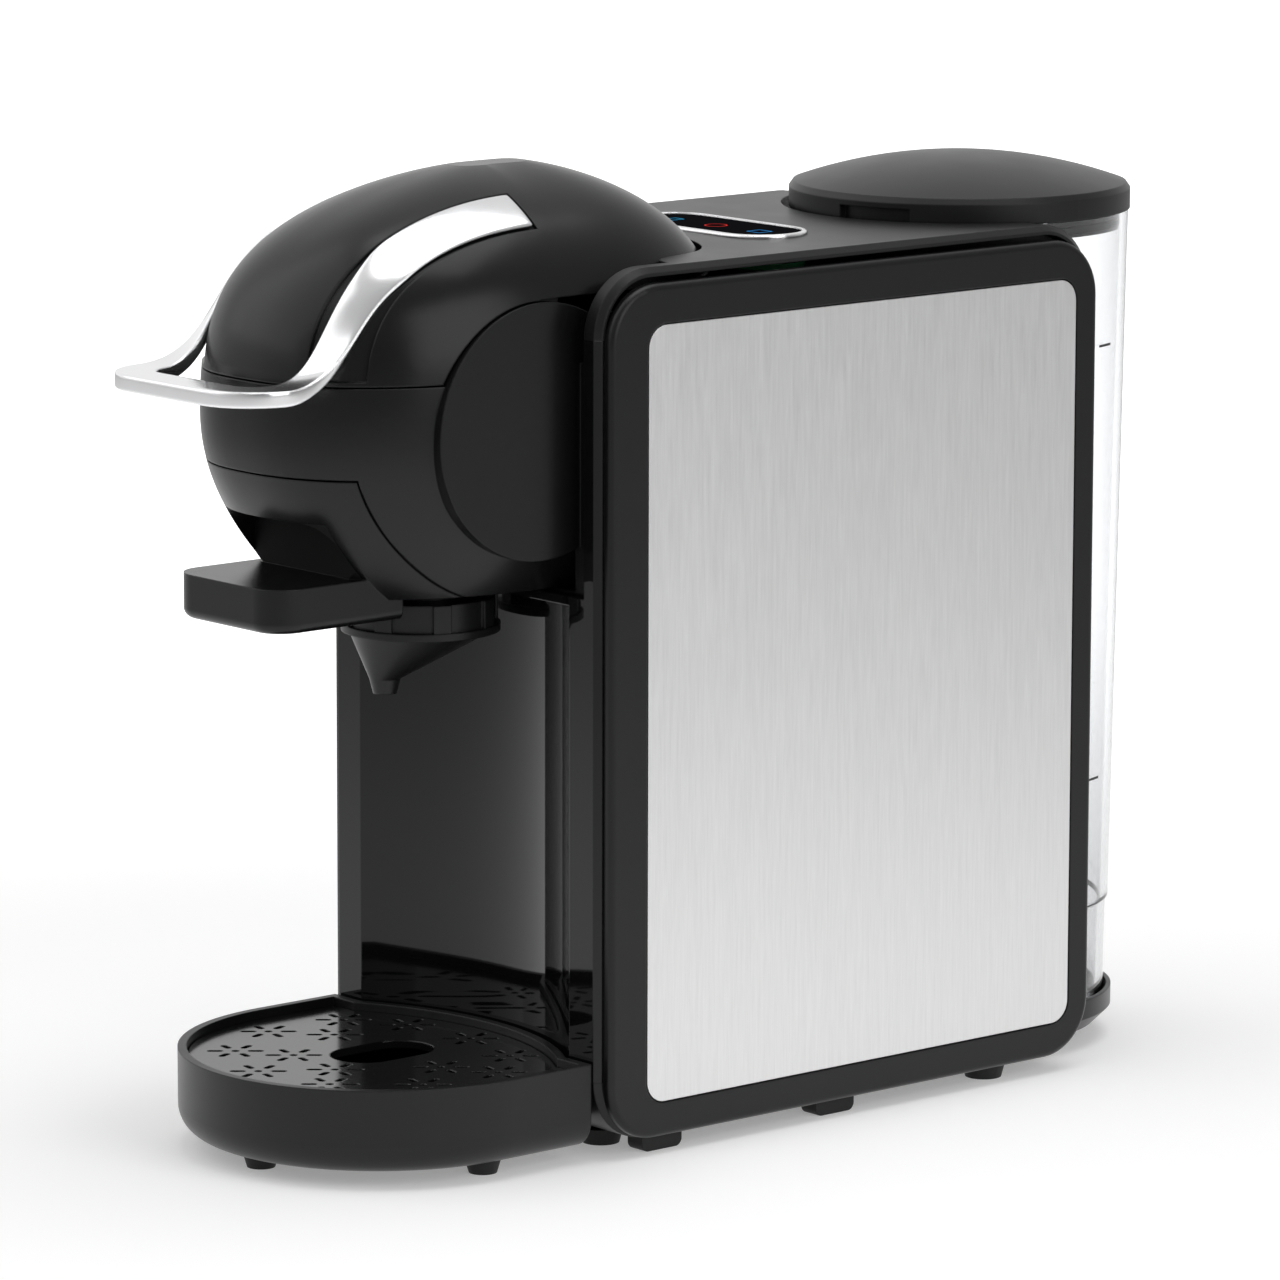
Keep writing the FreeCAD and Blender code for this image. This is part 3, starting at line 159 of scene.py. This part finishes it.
CLOUDS = (60, 60, 60)
DARKER, LIGHTER = 0.85, 1.2
MOULD_EDGE = 0.0006
MOULD_SHINE = 0.28


def moulded(name, color, roughness, spread, grain, depth, shine=MOULD_SHINE):
    """Moulded plastic: colour and gloss that vary a little, over a fine grain."""
    finish = Finish(name, color, roughness, Specular_IOR_Level=shine)
    cloud = finish.noise(CLOUDS)
    fine = finish.noise((grain, grain, grain), 2)
    finish.tint(cloud, tuple(DARKER * c for c in color), tuple(LIGHTER * c for c in color))
    finish.feed("Roughness", cloud * spread + (roughness - spread / 2))
    finish.soften(MOULD_EDGE, fine, depth)
    return finish


satin_black = moulded("satin_black", (0.008, 0.008, 0.0085),
                      roughness=0.36, spread=0.08, grain=2400, depth=0.00002)
satin_black.on("base_plate", "rear_cover", "cord_gland")
screw_steel = Finish("screw_steel", (0.5, 0.5, 0.51), 0.3, Metallic=1)
screw_steel.feed("Roughness", screw_steel.noise((900, 900, 900)) * 0.2 + 0.22)
screw_steel.on("base_screws", "head_screws")

# Feet, mounts and seals: round feet and flat side tabs under the base, and the rubber inside.
# They are matt black rubber, cut or moulded to shape, and stay where they are put.
foot_rubber = moulded("foot_rubber", (0.018, 0.018, 0.018),
                      roughness=0.62, spread=0.1, grain=1800, depth=0.00004)
foot_rubber.on("round_feet", "side_feet", "tray_feet", "pump_mounts")
foot_rubber.on("seat_seal", "piston_seal", "tank_lid_seal")

# Works inside: chassis, pump, heater, flow meter, valve, boards, hoses and brewing parts.
# They are black and white nylon, cast alloy, green laminate, silicone and steel.
# The covers hide most of them until the lid, the drawer or the tank is moved.
works_black = moulded("works_black", (0.03, 0.03, 0.032),
                      roughness=0.45, spread=0.08, grain=1600, depth=0.00003)
works_black.on("chassis", "lid_ribs", "drawer_carrier")
works_nylon = moulded("works_nylon", (0.7, 0.7, 0.67), roughness=0.42, spread=0.1, grain=1600, depth=0.00002)
works_nylon.on("water_pump", "flow_meter", "valve_body", "valve_poppet", "tank_filter")
works_nylon.on("brew_ring", "brew_piston")
hose_silicone = moulded("hose_silicone", (0.66, 0.66, 0.63),
                        roughness=0.4, spread=0.1, grain=900, depth=0.00002)
hose_silicone.on("inlet_hose", "pump_hose", "heater_hose", "brew_hose")
laminate = moulded("board_laminate", (0.02, 0.16, 0.06), roughness=0.4, spread=0.1, grain=1500, depth=0.00002)
laminate.on("main_board", "control_board")
cast_alloy = Finish("cast_alloy", (0.55, 0.55, 0.56), 0.45, Metallic=1)
cast_alloy.feed("Roughness", cast_alloy.noise((300, 300, 300)) * 0.25 + 0.32)
cast_alloy.on("thermoblock")
screw_steel.on("hinge_shaft", "lid_cams", "piercing_needles", "outlet_plate")

# Column: the hollow front cover behind the cup, which mirrors the drip grid.
# It is moulded in one piece from black plastic in a polished tool.
gloss_black = moulded("gloss_black", (0.004, 0.004, 0.0045),
                      roughness=0.035, spread=0.02, grain=900, depth=0.000001)
gloss_black.on("front_cover")

# Top cover: a cap over the core, with openings for the lid, the control panel and the tank.
# It is the same satin black plastic as the base, and closes the core from above.
satin_black.on("top_cover")

# Side covers: soft-edged frames, one on each side of the core, that hold the steel plates.
# They are black plastic with a little more gloss than the top.
cover_black = moulded("cover_black", (0.006, 0.006, 0.0065),
                      roughness=0.3, spread=0.06, grain=2000, depth=0.000012)
cover_black.on("side_cover_right", "side_cover_left")

# Side plates: thin stainless sheet let into the covers.
# The sheet is brushed up and down, so it shows short upright streaks.
LONG_STREAKS, SHORT_STREAKS = (10, 1100, 60), (10, 2600, 130)
LONG_SHARE, STEEL_EDGE, STREAK_DEPTH = 0.6, 0.0003, 0.00003
steel_sheet = Finish("brushed_steel", (0.74, 0.74, 0.74), 0.34, Metallic=1)
long_streaks = steel_sheet.noise(LONG_STREAKS, 4)
short_streaks = steel_sheet.noise(SHORT_STREAKS, 3)
streaks = long_streaks * LONG_SHARE + short_streaks * (1 - LONG_SHARE)
steel_sheet.tint(streaks, (0.58, 0.58, 0.58), (0.8, 0.8, 0.8))
steel_sheet.feed("Roughness", streaks * 0.3 + 0.24)
steel_sheet.soften(STEEL_EDGE, streaks, STREAK_DEPTH)
steel_sheet.on("side_plate_right", "side_plate_left")

# Control panel: a chrome bezel round a dark touch lens with three lit marks under it.
# Two marks are cups in blue outline, and the middle one is a red ring.
# The bezel sits in the top cover, and the lens in the bezel.
CHROME_EDGE = 0.0008
MARK_LINE, RING_R, CUP_DEEP = 0.00022, 0.0030, 0.0024
MARKS = (("light_left", (0.05, 0.45, 0.8), 0.0018), ("light_middle", (0.8, 0.04, 0.03), 0),
         ("light_right", (0.05, 0.35, 0.85), 0.0025))
chrome = Finish("chrome", (0.86, 0.86, 0.87), 0.16, Metallic=1)
chrome.feed("Roughness", chrome.noise((140, 140, 140)) * 0.08 + 0.14)
chrome.soften(CHROME_EDGE)
chrome.on("control_bezel")
lens_black = Finish("lens_black", (0.006, 0.006, 0.007), 0.12, Specular_IOR_Level=0)
lens_black.feed("Roughness", lens_black.noise((300, 300, 300)) * 0.06 + 0.1)
lens_black.on("control_lens")
for name, color, cup_half in MARKS:
    centre = sum((Vector(corner) for corner in node[name].bound_box), Vector()) / 8
    lit = Finish(name, (0.004, 0.004, 0.005), 0.12, Specular_IOR_Level=0, Emission_Strength=0.9)
    across = lit.axis(lit.place(), "X") - centre.x
    along = lit.axis(lit.place(), "Y") - centre.y
    if cup_half:
        wide = abs(across) - cup_half
        form = wide.math("MAXIMUM", wide, abs(along) - CUP_DEEP)
    else:
        form = (across * across + along * along) ** 0.5 - RING_R
    line = (abs(form) < MARK_LINE) * (lit.noise((700, 700, 700)) * 0.4 + 0.8)
    red, green, blue = (line * part for part in color)
    lit.feed("Emission Color", lit.node("CombineColor", {}, {"Red": red, "Green": green, "Blue": blue}))
    lit.on(name)

# Head: the fixed lower body with its round cheeks, and the lid that closes over it.
# They are black mouldings between satin and gloss, with a fine gap between them.
HEAD_COLOR, POLISHED, HEAD_SPREAD = (0.005, 0.005, 0.0055), 0.25, 0.05
HEAD_GRAIN, HEAD_DEPTH = 1800, 0.000008
head_black = moulded("head_black", HEAD_COLOR, POLISHED, HEAD_SPREAD, HEAD_GRAIN, HEAD_DEPTH)
head_black.on("head_body", "lid_shell")

# Drawer front: the moulded face of the pod drawer, with a finger shelf under an arched recess.
# The outside is polished like the head, and the recess is left dull from the mould and coloured darker as
# painted shade.
RECESS_HALF, RECESS_LOW, RECESS_HIGH = 0.02155, 0.15905, 0.17475
# The recess colour is painted shade, much darker than the head's own black.
DULL, RECESS_PAINTED_SHADE = 0.85, (0.0008, 0.0008, 0.0008)
fascia_black = Finish("fascia_black", HEAD_COLOR, POLISHED, Specular_IOR_Level=MOULD_SHINE)
across = fascia_black.axis(fascia_black.place(), "X")
high = fascia_black.axis(fascia_black.place(), "Z")
inside = (abs(across) < RECESS_HALF) * (high > RECESS_LOW) * (high < RECESS_HIGH)
outside_gloss = fascia_black.noise(CLOUDS) * HEAD_SPREAD + (POLISHED - HEAD_SPREAD / 2)
# Painted shade: inside the recess the base colour turns darker than the face around it, standing in for its
# shadow.
fascia_black.tint(inside, HEAD_COLOR, RECESS_PAINTED_SHADE)
fascia_black.feed("Roughness", inside * (DULL - POLISHED) + outside_gloss)
fascia_black.soften(MOULD_EDGE, fascia_black.noise((HEAD_GRAIN, HEAD_GRAIN, HEAD_GRAIN), 2), HEAD_DEPTH)
fascia_black.on("drawer_fascia")

# Handle: a loop whose two arms lie in the lid's channels and sweep forward into a flat bar.
# It is die-cast alloy under bright chrome, with every edge rounded before plating.
# Its arms are let into the lid, so it swings with the lid.
ARM_INNER, ARM_OUTER, ARM_REAR = 0.0222, 0.0333, -0.0672
BEND_X, BEND_Y = 0.0155, -0.1463
ARM_CELLS, BEND_CELLS, BAR_CELLS = 18, 8, 3
BAR_THICK, ARM_SHARE, EDGE_ROUND = 0.0044, 0.34, 0.0006
SWEEP_REAR, SWEEP_FRONT, SWEEP_RAMP = -0.112, -0.147, 4
BAR_HEIGHT, ABOVE, CLOSE = 0.2132, 0.3, 1e-6


def grab(piece, rule):
    """Selects the points of the piece in edit mode that follow a rule on their place."""
    bpy.ops.mesh.select_all(action="DESELECT")
    bpy.ops.object.mode_set(mode="OBJECT")
    for point in piece.data.vertices:
        point.select = rule(point.co)
    bpy.ops.object.mode_set(mode="EDIT")


def finish_with(piece, kind, **settings):
    """Adds a modifier, sets it up and applies it."""
    step = piece.modifiers.new(kind.lower(), kind)
    for name, value in settings.items():
        setattr(step, name, value)
    bpy.ops.object.modifier_apply(modifier=step.name)


def share(piece, name, weight):
    """A vertex group whose weights follow a rule on the place of each point."""
    group = piece.vertex_groups.new(name=name)
    for point in piece.data.vertices:
        group.add([point.index], min(max(weight(point.co), 0), 1), "REPLACE")


def in_sweep(at):
    """Nought outside the sweep, and up to 1 in its middle."""
    return SWEEP_RAMP * min(SWEEP_REAR - at.y, at.y - SWEEP_FRONT) / (SWEEP_REAR - SWEEP_FRONT)


def thickness(at):
    """Share of the bar's thickness: thin in the lid's channel, full at the bar."""
    return max(ARM_SHARE, (SWEEP_REAR - at.y) / (SWEEP_REAR - SWEEP_FRONT))


bpy.ops.mesh.primitive_grid_add(x_subdivisions=3, y_subdivisions=ARM_CELLS, size=1)
loop = bpy.context.object
loop.name = "handle_loop"
bpy.ops.object.mode_set(mode="EDIT")
bpy.ops.mesh.select_mode(type="VERT")
bpy.ops.transform.resize(value=(ARM_OUTER - ARM_INNER, ARM_REAR - BEND_Y, 1))
bpy.ops.transform.translate(value=((ARM_OUTER + ARM_INNER) / 2, (ARM_REAR + BEND_Y) / 2, 0))
grab(loop, lambda at: at.y < BEND_Y + CLOSE)
bpy.ops.mesh.spin(steps=BEND_CELLS, angle=math.pi / 2, center=(BEND_X, BEND_Y, 0), axis=(0, 0, 1))
for cell in range(BAR_CELLS):
    bpy.ops.mesh.extrude_region_move(TRANSFORM_OT_translate={"value": (-BEND_X / BAR_CELLS, 0, 0)})
bpy.ops.mesh.select_all(action="SELECT")
bpy.ops.mesh.remove_doubles(threshold=CLOSE)
bpy.ops.object.mode_set(mode="OBJECT")
finish_with(loop, "MIRROR", merge_threshold=10 * CLOSE)
for point in loop.data.vertices:
    hit, place, normal, face = node["handle"].ray_cast((point.co.x, point.co.y, ABOVE), (0, 0, -1))
    point.co.z = place.z if hit else BAR_HEIGHT
share(loop, "sweep", in_sweep)
finish_with(loop, "SMOOTH", factor=0.5, iterations=6, vertex_group="sweep")
share(loop, "body", thickness)
bpy.ops.object.mode_set(mode="EDIT")
bpy.ops.mesh.select_all(action="SELECT")
if sum(face.normal.z for face in loop.data.polygons) < 0:
    bpy.ops.mesh.flip_normals()
bpy.ops.object.mode_set(mode="OBJECT")
finish_with(loop, "SOLIDIFY", thickness=BAR_THICK, offset=-1, vertex_group="body", use_even_offset=True)
finish_with(loop, "BEVEL", width=EDGE_ROUND, segments=2, limit_method="ANGLE", angle_limit=math.radians(50))
finish_with(loop, "SUBSURF", levels=2, render_levels=2)
bpy.ops.object.shade_smooth()
loop.vertex_groups.clear()
chrome.on(loop)
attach(loop, "lid")
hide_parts("handle")
bpy.ops.object.select_all(action="DESELECT")

# Pod cup and spout: the cup that holds the pod and the funnel that clips on under it.
# Both are satin black plastic and slide out with the drawer.
satin_black.on("pod_cup", "spout_funnel")

# Drip tray and grid: a bowl that slides in under the spout, and the plate that lies on it.
# The bowl is satin black, and the grid is polished black with slots in the form of flowers.
satin_black.on("drip_tray")
GRID_SHINE = 0.5
grid_black = moulded("grid_black", (0.006, 0.006, 0.0065), roughness=0.15, spread=0.05, grain=1500,
                     depth=0.000006, shine=GRID_SHINE)
grid_black.on("drip_grid")

# Water tank: a tall clear cup that lifts out of its seat.
# It is moulded from clear plastic, which looks greyer where the wall is seen at a slant.
clear = Finish("clear_tank", (0.96, 0.97, 0.98), 0.02, Transmission_Weight=1, IOR=1.3)
clear.feed("Roughness", clear.noise((90, 90, 90)) * 0.03 + 0.01)
slant = clear.node("LayerWeight", {}, {"Blend": 0.35}, "Facing")
clear.tint(slant ** 1.5, (0.91, 0.915, 0.92), (0.3, 0.31, 0.33))
clear.on("water_tank")

# Level marks: two short lines on the tank's wall, for the highest and the lowest water.
# They are printed on the clear wall, so they are only as thick as ink.
TANK_AXIS_Y, MARK_TURN, MARK_SPAN = 0.1164, math.radians(18), math.radians(5)
MARK_TALL, INK_THICK, INK_LIFT, OUTSIDE = 0.0007, 0.0001, 0.00002, 0.2
LEVELS = (("mark_full", 0.2018), ("mark_low", 0.078))
ink = moulded("mark_ink", (0.05, 0.05, 0.052), roughness=0.5, spread=0.1, grain=900, depth=0.000004)
outward = Vector((math.cos(MARK_TURN), math.sin(MARK_TURN), 0))
for name, height in LEVELS:
    start = Vector((0, TANK_AXIS_Y, height)) + outward * OUTSIDE
    hit, wall, normal, face = node["water_tank"].ray_cast(start, -outward)
    wall_r = math.hypot(wall.x, wall.y - TANK_AXIS_Y) + INK_LIFT
    bpy.ops.mesh.primitive_cylinder_add(vertices=180, radius=wall_r, depth=MARK_TALL, end_fill_type="NOTHING")
    mark = bpy.context.object
    mark.name = name
    bpy.ops.object.mode_set(mode="EDIT")
    grab(mark, lambda at: abs(math.atan2(at.y, at.x) - MARK_TURN) > MARK_SPAN)
    bpy.ops.mesh.delete(type="VERT")
    bpy.ops.mesh.select_all(action="SELECT")
    bpy.ops.transform.translate(value=(0, TANK_AXIS_Y, height))
    bpy.ops.object.mode_set(mode="OBJECT")
    finish_with(mark, "SOLIDIFY", thickness=INK_THICK, offset=1)
    bpy.ops.object.shade_smooth_by_angle(angle=math.radians(40))
    ink.on(mark)
    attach(mark, "tank")
    bpy.ops.object.select_all(action="DESELECT")

# Tank seat and lid: the dish that the tank stands in, and the domed cap on the tank.
# Both are satin black plastic. The seat is fixed to the base, and the lid lifts off.
satin_black.on("tank_seat", "tank_lid")

# Studio: a pale floor that fades into a white surround, soft lamps and the camera.
# The floor keeps the machine's shadow, and metal and glass see the same white room.
FLOOR_SIZE, POOL_INNER, POOL_OUTER = 12, 0.25, 0.9
POOL_GLOW, MIRROR_GLOW = 0.28, 0.5
ROOM_LEFT, ROOM_RIGHT, AMBIENT = 1.0, 0.2, 0.4
RAYS = ("Is Camera Ray", "Is Transmission Ray", "Is Glossy Ray")
bpy.ops.mesh.primitive_plane_add(size=FLOOR_SIZE, location=(0, 0, 0))
floor = bpy.context.object
floor.name = "floor"
pale = Finish("pale_floor", (0.8, 0.8, 0.8), 1.0, Emission_Strength=1, Specular_IOR_Level=0)
reach = pale.node("VectorMath", {"operation": "LENGTH"}, {0: pale.place()}, "Value")
pool = {"Value": reach, "From Min": POOL_INNER, "From Max": POOL_OUTER}
far = pale.node("MapRange", {"interpolation_type": "SMOOTHSTEP"}, pool)
direct, through, mirrored = (pale.node("LightPath", {}, {}, ray) for ray in RAYS)
seen = direct.math("MAXIMUM", direct, through)
glow = seen * (POOL_GLOW + far * (1 - POOL_GLOW)) + mirrored * (1 - seen) * (MIRROR_GLOW - far * MIRROR_GLOW)
pale.feed("Emission Color", glow)
pale.on(floor)

world = bpy.data.worlds.new("surround")
bpy.context.scene.world = world
world.use_nodes = True
surround = Nodes(world.node_tree)
sky = surround.tree.nodes["Background"]
direct, through, mirrored = (surround.node("LightPath", {}, {}, ray) for ray in RAYS)
shown = direct.math("MAXIMUM", direct, through)
leftward = surround.axis(surround.node("TexCoord", {}, {}, "Generated"), "X") * -0.5 + 0.5
room = leftward * (ROOM_LEFT - ROOM_RIGHT) + ROOM_RIGHT
surround.fill(sky.inputs["Strength"], shown + (1 - shown) * (mirrored * (room - AMBIENT) + AMBIENT))
surround.fill(sky.inputs["Color"], (1, 1, 1, 1))


def lamp(name, place, aim, size, watts):
    """A square soft lamp that faces a point."""
    light = bpy.data.lights.new(name, "AREA")
    light.energy = watts
    light.size = size
    made = bpy.data.objects.new(name, light)
    bpy.context.collection.objects.link(made)
    made.location = place
    made.rotation_euler = (Vector(aim) - Vector(place)).to_track_quat("-Z", "Y").to_euler()


lamp("key", (-1.2, -1.6, 1.9), aim=(0, 0, 0.12), size=3.0, watts=22)
lamp("side", (2.2, 0.2, 1.0), aim=(0, 0, 0.12), size=1.6, watts=16)
lamp("top", (0.2, 0.3, 2.2), aim=(0, 0, 0.1), size=1.6, watts=18)

AZIMUTH, ELEVATION, ROLL = (math.radians(turn) for turn in (49.428, 10.118, 0.13))
DISTANCE, FOCAL, SENSOR = 2.026, 207.6, 36
AIM = Vector((0, -0.001762, 0.127062))
level = math.cos(ELEVATION)
back = Vector((math.sin(AZIMUTH) * level, -math.cos(AZIMUTH) * level, math.sin(ELEVATION)))
right = Vector((math.cos(AZIMUTH), math.sin(AZIMUTH), 0))
up = back.cross(right)
x_axis = right * math.cos(ROLL) + up * math.sin(ROLL)
y_axis = up * math.cos(ROLL) - right * math.sin(ROLL)
lens = bpy.data.cameras.new("camera")
lens.lens = FOCAL
lens.sensor_width = SENSOR
camera = bpy.data.objects.new("camera", lens)
bpy.context.collection.objects.link(camera)
turned = Matrix((x_axis, y_axis, back)).transposed().to_4x4()
camera.matrix_world = Matrix.Translation(AIM + back * DISTANCE) @ turned
bpy.context.scene.camera = camera
bpy.context.scene.view_settings.view_transform = "Standard"
